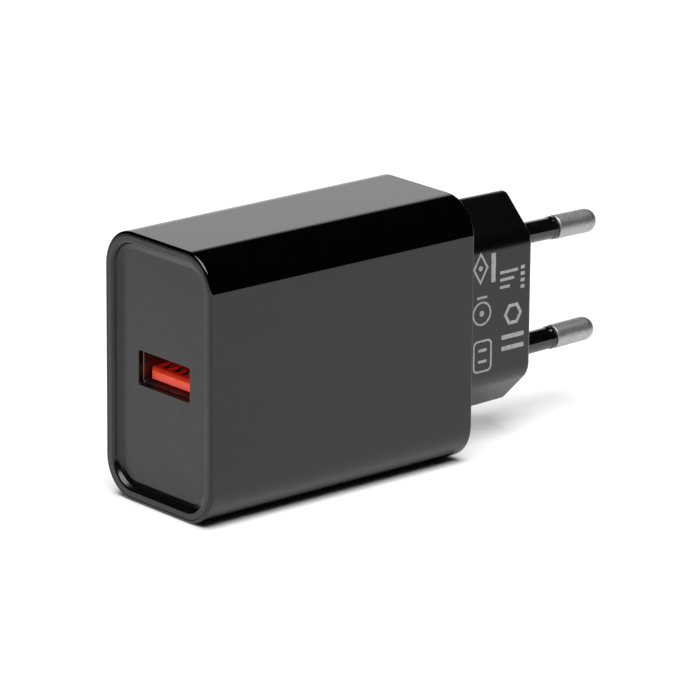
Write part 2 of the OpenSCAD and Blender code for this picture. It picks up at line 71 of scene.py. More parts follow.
# The housing's size and place come from the CAD
sleeve_low, sleeve_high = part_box("housing_sleeve")
ORIGIN = Vector((0, sleeve_low.y, (sleeve_low.z + sleeve_high.z) / 2))
BODY_T, BODY_D, BODY_H = (sleeve_high - sleeve_low) / MM
BODY_R = 6.4
WALL = 1.9
LIP = 0.55
INSERT = 0.6
SKIRT_OUT = 1.95
SKIRT_IN = 3.15
SKIRT_L = 3.0
LIP_FRONT_R = 0.46
LIP_REAR_R = 0.28

# Ribs inside the sleeve that hold the board's edges
RIB_Z = (18.6, 20.6)
RIB_Y = (7.0, 48.0)
RIB_T = 1.0
BOARD_T = 1.2
BOARD_PLAY = 0.05

# Front bezel
RIM_IN = 1.8
PANEL_IN = 3.0
RECESS = 1.2
WALL_RUN = 0.3
WALL_DROP = 0.85
BEZEL_T = 3.5
PORT_W = 12.6
PORT_H = 5.5
WEB_T = 0.9

# Plug
PLATE_Y = 51.5
PLUG_T = 13.6
PLUG_H = 36.0
PLUG_Y = (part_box("plug_housing")[1].y - ORIGIN.y) / MM
PLUG_END = 3.0
PLUG_WALL = 2.0
HOLE_PLAY = 0.02
RIDGE_R = 1.5
CREASE_R = 4.0
NOSE_TAPER = 0.016

# Pins, in distances along their axes from the plug's end face
PIN_R = 2.0
PIN_L = 19.8
CORE_R = 1.5
SLEEVE_R = 1.84
SLEEVE_L = 10.8
BOSS_R = 3.3
BOSS_DEPTH = 7.0
TAIL = -8.5
TAIL_R = 1.0
RIVET_R = 1.6
STRIP_T = 0.6
COLLAR_R = PIN_R - 0.03
GROOVE_R = 1.66

# USB socket
SHELL_W = 13.1
SHELL_H = 5.72
SHEET = 0.3
SHELL_Y0 = 2.15
SHELL_Y1 = 16.15
TONGUE_Y0 = 2.9
TONGUE_TOP = -0.1
BOARD_FACE_X = -6.6
LEAD_END_X = -8.9
WINDOW_X = 3.0
WINDOW_Y = (5.15, 10.15)
SHELL_TAB_Y = (8.8, 13.4)
CONTACT_X = (-3.5, -1, 1, 3.5)
CONTACT_TAIL_Z = (-1, -3, 1, 3)

CORNER_STEPS = 24


def to_row(x, y, z):
    return ORIGIN + Vector((x, y, z)) * MM


# ---- Outlines and profiles ----


def fillet_steps(radius):
    """How many chords a fillet of this radius gets."""
    if radius < 0.5:
        return 5
    return 10 if radius < 1.8 else 22


def fillet(points, closed=False, steps=None):
    """A polyline (u, v, radius) with its corners turned into arcs, as (u, v) points."""
    result = []
    count = len(points)
    for i, (u, v, radius) in enumerate(points):
        corner = Vector((u, v))
        at_end = not closed and i in (0, count - 1)
        if at_end or radius <= 0:
            result.append(corner)
            continue
        before = (Vector(points[i - 1][:2]) - corner).normalized()
        after = (Vector(points[(i + 1) % count][:2]) - corner).normalized()
        half = before.angle(after) / 2
        run = radius / math.tan(half)
        centre = corner + (before + after).normalized() * (radius / math.sin(half))
        start = corner + before * run - centre
        end = corner + after * run - centre
        angle = math.atan2(start.y, start.x)
        turn = (math.atan2(end.y, end.x) - angle + math.pi) % (2 * math.pi) - math.pi
        chords = steps or fillet_steps(radius)
        for k in range(chords + 1):
            a = angle + turn * k / chords
            result.append(centre + Vector((math.cos(a), math.sin(a))) * radius)
    return result


def rectangle(w, h, r, steps=CORNER_STEPS):
    corners = [(-w / 2, -h / 2, r), (w / 2, -h / 2, r), (w / 2, h / 2, r), (-w / 2, h / 2, r)]
    return fillet(corners, closed=True, steps=steps)


def body_outline(inset):
    return rectangle(BODY_T - 2 * inset, BODY_H - 2 * inset, BODY_R - inset)


def plug_outline(inset):
    """The plug nose, a long hexagon with 45 degree slopes."""
    side = PLUG_T / 2 - inset
    apex = PLUG_H / 2 + RIDGE_R * (math.sqrt(2) - 1) - inset * math.sqrt(2)
    crease = max(CREASE_R - inset, 0.5)
    ridge = max(RIDGE_R - inset, 0.5)
    corners = [(0, -apex, ridge), (side, side - apex, crease), (side, apex - side, crease),
               (0, apex, ridge), (-side, apex - side, crease), (-side, side - apex, crease)]
    return fillet(corners, closed=True, steps=12)


def port_outline(inset):
    return rectangle(PORT_W - 2 * inset, PORT_H - 2 * inset, 0.35, steps=6)


def shell_outline(inset):
    return rectangle(SHELL_W - 2 * inset, SHELL_H - 2 * inset, 0.65 - inset, steps=6)


# ---- Mesh building ----


def ring(bm, outline, y):
    return [bm.verts.new(to_row(p.x, y, p.y)) for p in outline]


def skin(bm, a, b):
    """Quads between two closed rings of the same count."""
    n = len(a)
    for i in range(n):
        j = (i + 1) % n
        bm.faces.new((a[i], a[j], b[j], b[i]))


def sweep(bm, outline, profile, closed=False):
    """Skins what a profile of (inset, y) points makes as it runs round an outline; returns its end rings."""
    rings = [ring(bm, outline(p.x), p.y) for p in profile]
    for a, b in zip(rings, rings[1:]):
        skin(bm, a, b)
    if closed:
        skin(bm, rings[-1], rings[0])
    return rings[0], rings[-1]


def cap(bm, *loops):
    """Fills the flat region between loops, the first round the others."""
    edges = []
    for loop in loops:
        for a, b in zip(loop, loop[1:] + loop[:1]):
            edges.append(bm.edges.get((a, b)) or bm.edges.new((a, b)))
    bmesh.ops.triangle_fill(bm, use_beauty=True, use_dissolve=False, edges=edges)


def block(bm, low, high, bevel=0.1):
    """A box with softened edges."""
    xs, ys, zs = zip(low, high)
    v = [bm.verts.new(to_row(x, y, z)) for x in xs for y in ys for z in zs]
    quads = [(0, 1, 3, 2), (4, 6, 7, 5), (0, 4, 5, 1), (2, 3, 7, 6), (0, 2, 6, 4), (1, 5, 7, 3)]
    faces = [bm.faces.new([v[i] for i in q]) for q in quads]
    edges = list(dict.fromkeys(e for f in faces for e in f.edges))
    bmesh.ops.bevel(bm, geom=edges, offset=bevel * MM, segments=2, profile=0.5, affect="EDGES")


def ribbon(bm, path, x, width, thick):
    """A strip along a path of (y, z) points, its width across X."""
    stations = []
    for i, (y, z) in enumerate(path):
        before = path[max(i - 1, 0)]
        after = path[min(i + 1, len(path) - 1)]
        along = Vector((after[0] - before[0], after[1] - before[1])).normalized()
        off = Vector((-along.y, along.x)) * thick / 2
        corners = [(-1, -1), (1, -1), (1, 1), (-1, 1)]
        stations.append([bm.verts.new(to_row(x + s * width / 2, y + t * off.x, z + t * off.y))
                         for s, t in corners])
    for a, b in zip(stations, stations[1:]):
        skin(bm, a, b)
    bm.faces.new(stations[0])
    bm.faces.new(stations[-1])


def revolve(bm, profile, origin, axis, closed=False, steps=72):
    """Turns a profile of (radius, distance along the axis) points round an axis."""
    across = Vector((1, 0, 0))
    other = axis.cross(across)
    rings = []
    for p in profile:
        middle = origin + axis * p.y
        if p.x < 1e-6:
            rings.append([bm.verts.new(to_row(*middle))])
            continue
        turns = [2 * math.pi * k / steps for k in range(steps)]
        rings.append([bm.verts.new(to_row(*(middle + (across * math.cos(t) + other * math.sin(t)) * p.x)))
                      for t in turns])
    pairs = list(zip(rings, rings[1:]))
    if closed:
        pairs.append((rings[-1], rings[0]))
    for a, b in pairs:
        if len(a) == 1 and len(b) == 1:
            continue
        if len(a) == 1 or len(b) == 1:
            tip, loop = (a[0], b) if len(a) == 1 else (b[0], a)
            for k in range(steps):
                bm.faces.new((tip, loop[k], loop[(k + 1) % steps]))
        else:
            skin(bm, a, b)


def slab(bm, loops, x0, x1):
    """A flat shape drawn in Y and Z, with holes, between two distances along X."""
    sides = []
    for x in (x0, x1):
        sides.append([[bm.verts.new(to_row(x, p[0], p[1])) for p in loop] for loop in loops])
    for a, b in zip(*sides):
        skin(bm, a, b)
    cap(bm, *sides[0])
    cap(bm, *sides[1])


def piece(name, bm, slot, replaced=(), sharp=38):
    """Makes the object, on the root body, standing for the CAD nodes that it replaces."""
    bmesh.ops.remove_doubles(bm, verts=bm.verts, dist=1e-7)
    bmesh.ops.recalc_face_normals(bm, faces=bm.faces)
    mesh = bpy.data.meshes.new(name)
    bm.to_mesh(mesh)
    bm.free()
    mesh.shade_smooth()
    mesh.set_sharp_from_angle(angle=math.radians(sharp))
    obj = bpy.data.objects.new(name, mesh)
    bpy.context.scene.collection.objects.link(obj)
    weighted = obj.modifiers.new("weighted_normals", "WEIGHTED_NORMAL")
    weighted.keep_sharp = True
    weighted.weight = 100
    mesh.materials.append(MATERIALS[slot])
    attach(obj, "root")
    if replaced:
        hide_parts(*replaced)
    return obj


def softened_copy(name, node, slot, width):
    """The CAD node's own shape with its sharp edges softened."""
    bm = bmesh.new()
    bm.from_mesh(nodes[node].data)
    bmesh.ops.remove_doubles(bm, verts=bm.verts, dist=1e-7)
    bmesh.ops.dissolve_limit(bm, angle_limit=math.radians(1), verts=bm.verts, edges=bm.edges)
    edges = [e for e in bm.edges if len(e.link_faces) == 2 and e.calc_face_angle(0) > math.radians(25)]
    bmesh.ops.bevel(bm, geom=edges, offset=width * MM, segments=3, profile=0.5, affect="EDGES",
                    clamp_overlap=True)
    return piece(name, bm, slot, [node])


# ---- Materials ----


class Graph:
    """A small helper for building one material's nodes."""

    def __init__(self, name):
        self.material = bpy.data.materials.new(name)
        self.material.use_nodes = True
        self.tree = self.material.node_tree
        self.shader = self.tree.nodes["Principled BSDF"]
        self.place = self.add("ShaderNodeTexCoord").outputs["Object"]

    def add(self, kind, **settings):
        node = self.tree.nodes.new(kind)
        for key, value in settings.items():
            setattr(node, key, value)
        return node

    def link(self, source, target):
        self.tree.links.new(source, target)

    def noise(self, scale, detail=2.0, roughness=0.5):
        node = self.add("ShaderNodeTexNoise")
        node.inputs["Scale"].default_value = scale
        node.inputs["Detail"].default_value = detail
        node.inputs["Roughness"].default_value = roughness
        self.link(self.place, node.inputs["Vector"])
        return node.outputs["Fac"]

    def waves(self, direction, scale, distortion=0.0):
        node = self.add("ShaderNodeTexWave", wave_type="BANDS", bands_direction=direction)
        node.inputs["Scale"].default_value = scale
        node.inputs["Distortion"].default_value = distortion
        self.link(self.place, node.inputs["Vector"])
        return node.outputs["Fac"]

    def cells(self, scale):
        node = self.add("ShaderNodeTexVoronoi")
        node.inputs["Scale"].default_value = scale
        self.link(self.place, node.inputs["Vector"])
        return node.outputs["Distance"]

    def remap(self, value, low, high, to_low=0.0, to_high=1.0):
        node = self.add("ShaderNodeMapRange")
        for key, number in (("From Min", low), ("From Max", high), ("To Min", to_low), ("To Max", to_high)):
            node.inputs[key].default_value = number
        self.link(value, node.inputs["Value"])
        return node.outputs["Result"]

    def maths(self, operation, *values):
        """One operation on one or two values, each a number or a socket."""
        node = self.add("ShaderNodeMath", operation=operation)
        for socket, value in zip(node.inputs, values):
            if isinstance(value, (int, float)):
                socket.default_value = value
            else:
                self.link(value, socket)
        return node.outputs[0]

    def times(self, a, b):
        return self.maths("MULTIPLY", a, b)

    def mix(self, factor, a, b):
        """Mixes two colours, each a tuple or a socket."""
        node = self.add("ShaderNodeMix", data_type="RGBA")
        self.link(factor, node.inputs[0])
        for socket, value in ((node.inputs[6], a), (node.inputs[7], b)):
            if isinstance(value, tuple):
                socket.default_value = (*value, 1)
            else:
                self.link(value, socket)
        return node.outputs[2]

    def bump(self, height, distance, strength=1.0, onto=None):
        node = self.add("ShaderNodeBump")
        node.inputs["Strength"].default_value = strength
        node.inputs["Distance"].default_value = distance
        self.link(height, node.inputs["Height"])
        if onto:
            self.link(onto, node.inputs["Normal"])
        return node.outputs["Normal"]

    def edges(self, low, high):
        """How worn an outward edge is, broken up by noise."""
        edge = self.remap(self.add("ShaderNodeNewGeometry").outputs["Pointiness"], low, high)
        return self.times(edge, self.remap(self.noise(900), 0.4, 0.65))


def finish(name, colours, rough, grain, scale=300.0, metallic=0.0, ior=1.5, specular=0.5, wear=None,
           coat=0.0):
    """One finish: two colours that drift into each other, uneven gloss, a fine relief and worn edges.

    grain is (noise scale, bump height in metres), and wear is (colour, pointiness from, pointiness to).
    """
    g = Graph(name)
    colour = g.mix(g.remap(g.noise(scale, 3), 0.35, 0.65), colours[0], colours[1])
    if wear:
        colour = g.mix(g.edges(wear[1], wear[2]), colour, wear[0])
    g.link(colour, g.shader.inputs["Base Color"])
    g.link(g.remap(g.noise(scale * 2.3, 4), 0.3, 0.7, *rough), g.shader.inputs["Roughness"])
    g.link(g.bump(g.noise(grain[0], 3), grain[1]), g.shader.inputs["Normal"])
    g.shader.inputs["Metallic"].default_value = metallic
    g.shader.inputs["IOR"].default_value = ior
    g.shader.inputs["Specular IOR Level"].default_value = specular
    g.shader.inputs["Coat Weight"].default_value = coat
    return g


def spark_texture(g, scale, height):
    """Moulded spark-eroded grain: fine pits over a coarser ripple."""
    fine = g.bump(g.cells(scale), height)
    coarse = g.bump(g.noise(scale * 0.45, 4, 0.65), height, onto=fine)
    g.link(coarse, g.shader.inputs["Normal"])


def windings(g, direction, pitch):
    """Rows of round wire side by side."""
    rows = g.waves(direction, math.pi / 10 / pitch, 0.4)
    g.link(g.bump(rows, 0.00008), g.shader.inputs["Normal"])


def board_pattern(g):
    """Copper tracks under the solder mask, seen as slightly lighter bands."""
    tracks = g.times(g.remap(g.waves("Z", 95, 6), 0.42, 0.5), g.remap(g.waves("Y", 60, 5), 0.4, 0.55))
    colour = g.mix(tracks, (0.012, 0.085, 0.03), (0.03, 0.2, 0.07))
    g.link(colour, g.shader.inputs["Base Color"])
    g.link(g.bump(tracks, 0.00003), g.shader.inputs["Normal"])


def make_materials():
    made = {}

    def keep(slot, *args, **kwargs):
        made[slot] = finish(slot, *args, **kwargs)
        return made[slot]

    keep("gloss_black_shell", [(0.0004, 0.0004, 0.0004), (0.0007, 0.0007, 0.0008)], (0.02, 0.04),
         (350, 0.000001), scale=500, ior=1.46, wear=((0.003, 0.003, 0.003), 0.56, 0.66))
    satin = keep("satin_black_shell", [(0.0005, 0.0005, 0.0005), (0.001, 0.001, 0.001)], (0.22, 0.28),
                 (3000, 0.00001), scale=2600, specular=0.45, wear=((0.006, 0.006, 0.006), 0.53, 0.6))
    spark_texture(satin, 5200, 0.000004)
    keep("pin_nickel", [(0.36, 0.36, 0.36), (0.43, 0.43, 0.43)], (0.4, 0.58), (2200, 0.000007), scale=1500,
         metallic=1.0, wear=((0.62, 0.61, 0.59), 0.54, 0.62))
    keep("pin_insulation", [(0.0012, 0.0012, 0.0012), (0.003, 0.003, 0.003)], (0.05, 0.12), (900, 0.000002),
         scale=700, specular=0.65, wear=((0.01, 0.01, 0.01), 0.55, 0.65))
    keep("terminal_brass", [(0.62, 0.42, 0.14), (0.78, 0.56, 0.22)], (0.22, 0.38), (2500, 0.000006),
         metallic=1.0, wear=((0.86, 0.66, 0.34), 0.53, 0.6))
    board_pattern(keep("board_green", [(0.012, 0.085, 0.03), (0.02, 0.12, 0.045)], (0.28, 0.4),
                       (1500, 0.000005)))
    keep("amber_film", [(0.5, 0.26, 0.05), (0.62, 0.34, 0.08)], (0.12, 0.25), (250, 0.00001), coat=0.3)
    keep("solder_tin", [(0.66, 0.66, 0.68), (0.8, 0.8, 0.82)], (0.12, 0.3), (1800, 0.00001), metallic=1.0)
    # The shell's metal is given a dark grey colour, much darker than bare tin, so the inside of the port
    # looks dark
    keep("shell_tin", [(0.13, 0.13, 0.135), (0.2, 0.2, 0.205)], (0.3, 0.42), (2200, 0.000005), metallic=1.0,
         wear=((0.3, 0.3, 0.3), 0.54, 0.62))
    tongue = keep("tongue_orange", [(0.95, 0.065, 0.012), (1.0, 0.08, 0.016)], (0.3, 0.4), (2600, 0.000004),
                  scale=700, specular=0.5, wear=((1.0, 0.11, 0.03), 0.54, 0.62))
    # A faint red glow is painted on the tongue, painted light that brightens it in the dark of the port
    tongue.shader.inputs["Emission Color"].default_value = (1.0, 0.02, 0.015, 1)
    tongue.shader.inputs["Emission Strength"].default_value = 0.14
    keep("contact_gold", [(0.82, 0.56, 0.18), (0.92, 0.68, 0.28)], (0.16, 0.3), (2600, 0.000003),
         metallic=1.0)
    keep("ferrite", [(0.018, 0.018, 0.02), (0.045, 0.045, 0.048)], (0.45, 0.7), (2600, 0.00002), scale=1400,
         wear=((0.12, 0.12, 0.12), 0.53, 0.6))
    keep("phenolic_black", [(0.006, 0.006, 0.007), (0.014, 0.014, 0.015)], (0.35, 0.5), (1800, 0.000008),
         wear=((0.03, 0.03, 0.03), 0.53, 0.6))
    windings(keep("copper_wire", [(0.5, 0.17, 0.06), (0.68, 0.27, 0.1)], (0.2, 0.34), (900, 0.00001),
                  metallic=0.9, coat=0.4), "Z", 0.00032)
    keep("yellow_tape", [(0.75, 0.48, 0.03), (0.85, 0.58, 0.06)], (0.18, 0.3), (350, 0.00001), coat=0.2)
    keep("can_brown", [(0.06, 0.022, 0.01), (0.09, 0.034, 0.015)], (0.22, 0.34), (900, 0.000006), coat=0.2)
    keep("can_silver", [(0.6, 0.61, 0.63), (0.72, 0.73, 0.75)], (0.2, 0.34), (2400, 0.000004), metallic=1.0)
    keep("disc_blue", [(0.012, 0.07, 0.3), (0.02, 0.11, 0.42)], (0.2, 0.34), (700, 0.00003), coat=0.3)
    keep("chip_black", [(0.008, 0.008, 0.009), (0.016, 0.016, 0.018)], (0.45, 0.62), (3000, 0.000008),
         wear=((0.03, 0.03, 0.03), 0.53, 0.6))
    keep("chip_ceramic", [(0.1, 0.06, 0.035), (0.2, 0.13, 0.08)], (0.35, 0.5), (2500, 0.000006))
    keep("marking_ink", [(0.3, 0.3, 0.3), (0.4, 0.4, 0.4)], (0.5, 0.65), (3500, 0.000003), scale=1800)
    return {slot: g.material for slot, g in made.items()}


MATERIALS = make_materials()


# ---- Housing ----


def housing_sleeve():
    bm = bmesh.new()
    profile = [(0, 0, LIP_FRONT_R), (LIP, 0, 0.07), (LIP, BEZEL_T, 0), (WALL, BEZEL_T, 0.1),
               (WALL, PLATE_Y, 0.1), (LIP, PLATE_Y, 0), (LIP, BODY_D, 0.07), (0, BODY_D, LIP_REAR_R)]
    sweep(bm, body_outline, fillet(profile, closed=True), closed=True)
    in_front = BOARD_FACE_X + BOARD_PLAY
    in_back = BOARD_FACE_X - BOARD_T - RIB_T - BOARD_PLAY
    for side in (-1, 1):
        z0, z1 = sorted(side * z for z in RIB_Z)
        for x in (in_front, in_back):
            block(bm, (x, RIB_Y[0], z0), (x + RIB_T, RIB_Y[1], z1))
    piece("housing_sleeve_shell", bm, "gloss_black_shell", ["housing_sleeve"])


def insert_edge(y_face, y_back, away):
    """The part that both inserts share: locating skirt, back and outer edge, as (inset, y, radius)."""
    end = y_back + away * SKIRT_L
    return [(SKIRT_IN, y_back, 0), (SKIRT_IN, end, 0.1), (SKIRT_OUT, end, 0.2), (SKIRT_OUT, y_back, 0.1),
            (INSERT, y_back, 0.1), (INSERT, y_face, 0.08)]


def front_bezel():
    bm = bmesh.new()
    profile = insert_edge(0, BEZEL_T, 1)
    # The dish starts with a short steep wall and flattens out into the panel
    profile += [(RIM_IN, 0, 0.5), (RIM_IN + WALL_RUN, WALL_DROP, 0.35), (PANEL_IN, RECESS, 0.9),
                (PANEL_IN + 0.9, RECESS, 0)]
    back, panel = sweep(bm, body_outline, fillet(profile))
    port = [(-0.3, RECESS, 0), (0, RECESS, 0.14), (0, RECESS + WEB_T, 0.05), (-0.35, RECESS + WEB_T, 0),
            (-0.35, BEZEL_T, 0.05), (-0.7, BEZEL_T, 0)]
    port_front, port_back = sweep(bm, port_outline, fillet(port))
    cap(bm, panel, port_front)
    cap(bm, back, port_back)
    piece("front_bezel_panel", bm, "satin_black_shell", ["front_bezel"])


# ---- Plug and pins ----


def pin_axis(name):
    """Where the pin's axis leaves the plug's end face, and its direction."""
    axis = Vector(mounts[name]["axis"])
    middle = (Vector(mounts[name]["pos_m"]) - ORIGIN) / MM
    return middle + axis * ((PLUG_Y - middle.y) / axis.y), axis


def pin_ring(bm, origin, axis, radius, along=None, y=None, steps=72):
    """A ring round a pin's axis, square to it at a distance along it, or in the plane of one y."""
    across = Vector((1, 0, 0))
    other = axis.cross(across)
    verts = []
    for k in range(steps):
        t = 2 * math.pi * k / steps
        p = origin + (across * math.cos(t) + other * math.sin(t)) * radius
        p += axis * (along if y is None else (y - p.y) / axis.y)
        verts.append(bm.verts.new(to_row(*p)))
    return verts


def plug_housing():
    bm = bmesh.new()
    profile = insert_edge(BODY_D, PLATE_Y, -1) + [(INSERT + 0.7, BODY_D, 0)]
    plate_back, plate_rear = sweep(bm, body_outline, fillet(profile))
    nose = [(-0.45, BODY_D, 0), (0, BODY_D, 0.35), (0, PLUG_Y, 0.7), (1.0, PLUG_Y, 0)]
    base_verts = set(bm.verts)
    nose_root, nose_end = sweep(bm, plug_outline, fillet(nose))
    # The nose draws in a little towards its end, so that it leaves its mould
    for vert in set(bm.verts) - base_verts:
        y = (vert.co.y - ORIGIN.y) / MM
        along = (y - BODY_D) / (PLUG_Y - BODY_D)
        vert.co.z = ORIGIN.z + (vert.co.z - ORIGIN.z) * (1 - NOSE_TAPER * along)
    cavity = fillet([(PLUG_WALL, PLUG_Y - PLUG_END, 0), (PLUG_WALL, PLATE_Y, 0)])
    cavity_end, cavity_mouth = sweep(bm, plug_outline, cavity)
    holes = []
    bosses = []
    for name in ("upper_plug_pin", "lower_plug_pin"):
        origin, axis = pin_axis(name)
        mouth = pin_ring(bm, origin, axis, SLEEVE_R + 0.2, y=PLUG_Y)
        throat = pin_ring(bm, origin, axis, SLEEVE_R + 0.06, y=PLUG_Y - 0.14)
        hole = pin_ring(bm, origin, axis, SLEEVE_R + HOLE_PLAY, along=-BOSS_DEPTH)
        boss = pin_ring(bm, origin, axis, BOSS_R, along=-BOSS_DEPTH)
        root = pin_ring(bm, origin, axis, BOSS_R, y=PLUG_Y - PLUG_END)
        for a, b in ((mouth, throat), (throat, hole), (hole, boss), (boss, root)):
            skin(bm, a, b)
        holes.append(mouth)
        bosses.append(root)
    cap(bm, plate_rear, nose_root)
    cap(bm, nose_end, *holes)
    cap(bm, cavity_end, *bosses)
    cap(bm, plate_back, cavity_mouth)
    piece("plug_housing_nose", bm, "satin_black_shell", ["plug_housing"])


def pins():
    rivet_top = TAIL - STRIP_T
    rivet_end = rivet_top - 0.6
    pin = [(0, rivet_end, 0), (RIVET_R, rivet_end, 0.3), (RIVET_R, rivet_top, 0.1), (TAIL_R, rivet_top, 0),
           (TAIL_R, TAIL, 0), (CORE_R, TAIL, 0.1), (CORE_R, SLEEVE_L, 0), (PIN_R, SLEEVE_L, 0.24),
           (PIN_R, PIN_L, PIN_R), (0, PIN_L, 0)]
    # The insulation widens to a thin collar, with a fine groove between it and the bare metal
    tube = [(CORE_R, -BOSS_DEPTH, 0), (SLEEVE_R, -BOSS_DEPTH, 0.1), (SLEEVE_R, SLEEVE_L - 1.3, 1.5),
            (COLLAR_R, SLEEVE_L - 0.75, 0.15), (COLLAR_R, SLEEVE_L - 0.42, 0.12),
            (GROOVE_R, SLEEVE_L - 0.38, 0.04), (GROOVE_R, SLEEVE_L, 0.03), (CORE_R, SLEEVE_L, 0)]
    for level in ("upper", "lower"):
        origin, axis = pin_axis(f"{level}_plug_pin")
        bm = bmesh.new()
        revolve(bm, fillet(pin), origin, axis)
        piece(f"{level}_pin_metal", bm, "pin_nickel", [f"{level}_contact_pin"])
        bm = bmesh.new()
        revolve(bm, fillet(tube, closed=True), origin, axis, closed=True)
        piece(f"{level}_pin_collar", bm, "pin_insulation", [f"{level}_pin_insulation"])


# ---- USB socket ----


def usb_shell():
    """A folded tin tube with four windows, a spring finger in each, and four tabs through the board."""
    tube = bmesh.new()
    profile = [(0, SHELL_Y0, 0.1), (0, SHELL_Y1, 0.06), (SHEET, SHELL_Y1, 0.06), (SHEET, SHELL_Y0, 0.1)]
    sweep(tube, shell_outline, fillet(profile, closed=True), closed=True)
    obj = piece("usb_shell_tube", tube, "shell_tin", ["usb_shell"])
    cuts = bmesh.new()
    for x in (-WINDOW_X, WINDOW_X):
        block(cuts, (x - 1.1, WINDOW_Y[0], -4), (x + 1.1, WINDOW_Y[1], 4), bevel=0.3)
    cutter_mesh = bpy.data.meshes.new("window_cutter")
    bmesh.ops.recalc_face_normals(cuts, faces=cuts.faces)
    cuts.to_mesh(cutter_mesh)
    cuts.free()
    cutter = bpy.data.objects.new("window_cutter", cutter_mesh)
    bpy.context.scene.collection.objects.link(cutter)
    boolean = obj.modifiers.new("windows", "BOOLEAN")
    boolean.operation = "DIFFERENCE"
    boolean.solver = "EXACT"
    boolean.object = cutter
    weighted = obj.modifiers["weighted_normals"]
    weighted.show_viewport = False
    evaluated = obj.evaluated_get(bpy.context.evaluated_depsgraph_get())
    cut_mesh = bpy.data.meshes.new_from_object(evaluated)
    obj.modifiers.remove(boolean)
    weighted.show_viewport = True
    bpy.data.objects.remove(cutter)
    parts = bmesh.new()
    parts.from_mesh(cut_mesh)
    finger = [(10.4, 2.71), (9.4, 2.7), (8.4, 2.64), (7.4, 2.54),
              (6.8, 2.46), (6.3, 2.4), (5.95, 2.42), (5.7, 2.5)]
    for side in (-1, 1):
        for x in (-WINDOW_X, WINDOW_X):
            ribbon(parts, [(y, side * z) for y, z in finger], x, 1.4, SHEET * 0.9)
        z = side * (SHELL_H - SHEET) / 2
        for y in SHELL_TAB_Y:
            block(parts, (LEAD_END_X, y - 0.8, z - SHEET / 2), (BOARD_FACE_X + 0.2, y + 0.8, z + SHEET / 2),
                  bevel=0.06)
    bmesh.ops.recalc_face_normals(parts, faces=parts.faces)
    parts.to_mesh(obj.data)
    parts.free()
    obj.data.shade_smooth()
    obj.data.set_sharp_from_angle(angle=math.radians(38))
    bpy.data.meshes.remove(cut_mesh)


def usb_contacts():
    """Four gold strips lying in the tongue's grooves, each with a smooth bow and a tail to the board."""
    start = TONGUE_Y0 + 1.2
    thick = 0.3
    tail_y = SHELL_Y1 + 0.25
    low = TONGUE_TOP - thick
    bow_rise = 0.4
    bow_t = 0.16

    def ease(t):
        t = min(max(t, 0), 1)
        return t * t * (3 - 2 * t)

    bm = bmesh.new()
    for x, tail_z in zip(CONTACT_X, CONTACT_TAIL_Z):
        ribbon(bm, [(start, low + thick / 2), (tail_y + thick, low + thick / 2)], x, 1.0, thick)
        bow = []
        for k in range(33):
            t = 0.3 + 4.7 * k / 32
            height = ease((t - 0.3) / 1.4) if t < 2.1 else 1 - ease((t - 2.1) / 2.9)
            bow.append((start + t, TONGUE_TOP - bow_t / 2 + bow_rise * height))
        ribbon(bm, bow, x, 0.8, bow_t)
        foot = min(low, tail_z - 0.25)
        head = max(TONGUE_TOP, tail_z + 0.25)
        block(bm, (x - 0.5, tail_y, foot), (x + 0.5, tail_y + thick, head), 0.05)
        block(bm, (LEAD_END_X, tail_y, tail_z - 0.25), (x, tail_y + thick, tail_z + 0.25), 0.05)
    piece("usb_contact_strips", bm, "contact_gold", ["usb_contacts"], sharp=30)


# ---- Printed marks ----


def regular(y, z, radius, sides, turn=0.0, squeeze=1.0):
    """A regular polygon, or a circle with many sides, as (y, z) points."""
    steps = [turn + 2 * math.pi * k / sides for k in range(sides)]
    return [(y + radius * squeeze * math.cos(t), z + radius * math.sin(t)) for t in steps]


def pill(y, z, w, h, r):
    return [(y + p.x, z + p.y) for p in rectangle(w, h, r, steps=6)]


def printed_marks():
    """Plain generic shapes in pale ink on the plug's side. They stand for nothing."""
    ink = (PLUG_T / 2 - 0.01, PLUG_T / 2 + 0.02)
    bm = bmesh.new()
    shapes = [
        # First column: a diamond with a bar, a ring with a dot, and a frame with two lines
        [regular(61.25, 7.9, 2.75, 4, 0, 0.62), regular(61.25, 7.9, 2.1, 4, 0, 0.57)],
        [pill(61.25, 7.9, 0.9, 0.9, 0.44)],
        [pill(64.05, 7.6, 0.95, 4.9, 0.1)],
        [regular(61.65, 0.25, 2.05, 40), regular(61.65, 0.25, 1.7, 40)],
        [regular(61.65, 0.25, 0.5, 24)],
        [pill(61.65, 2.95, 2.2, 0.4, 0.1)],
        [pill(61.9, -7.0, 4.1, 5.5, 0.9), pill(61.9, -7.0, 3.4, 4.8, 0.6)],
        [pill(61.9, -6.0, 1.9, 0.5, 0.2)],
        [pill(61.9, -7.9, 1.9, 0.5, 0.2)],
        # Second column: stepped bars with ticks, a hexagon, and two thick bars
        [pill(67.5, 6.4, 4.0, 0.5, 0.15)],
        [pill(67.1, 5.15, 3.1, 0.5, 0.15)],
        [pill(66.6, 3.9, 2.2, 0.5, 0.15)],
        [pill(70.5, 6.6, 0.9, 0.6, 0.1)],
        [pill(70.5, 5.5, 0.9, 0.6, 0.1)],
        [pill(70.5, 4.4, 0.9, 0.6, 0.1)],
        [pill(70.5, 3.3, 0.9, 0.6, 0.1)],
        [regular(68.5, -1.0, 2.0, 6), regular(68.5, -1.0, 1.35, 6)],
        [pill(68.5, -4.7, 4.9, 0.75, 0.2)],
        [pill(68.5, -6.6, 4.9, 0.75, 0.2)],
    ]
    for loops in shapes:
        slab(bm, loops, *ink)
    piece("printed_marks", bm, "marking_ink")


housing_sleeve()
front_bezel()
plug_housing()
pins()
usb_shell()
softened_copy("usb_tongue", "usb_insulator", "tongue_orange", 0.07)
usb_contacts()
printed_marks()

# Every CAD node that stays gets the finish of its own slot
for part in frame["record"]["subparts"]:
    node = nodes[part["node"]]
    for material_slot in node.material_slots:
        material_slot.material = MATERIALS[part["material_slot"]]


# ---- Studio ----

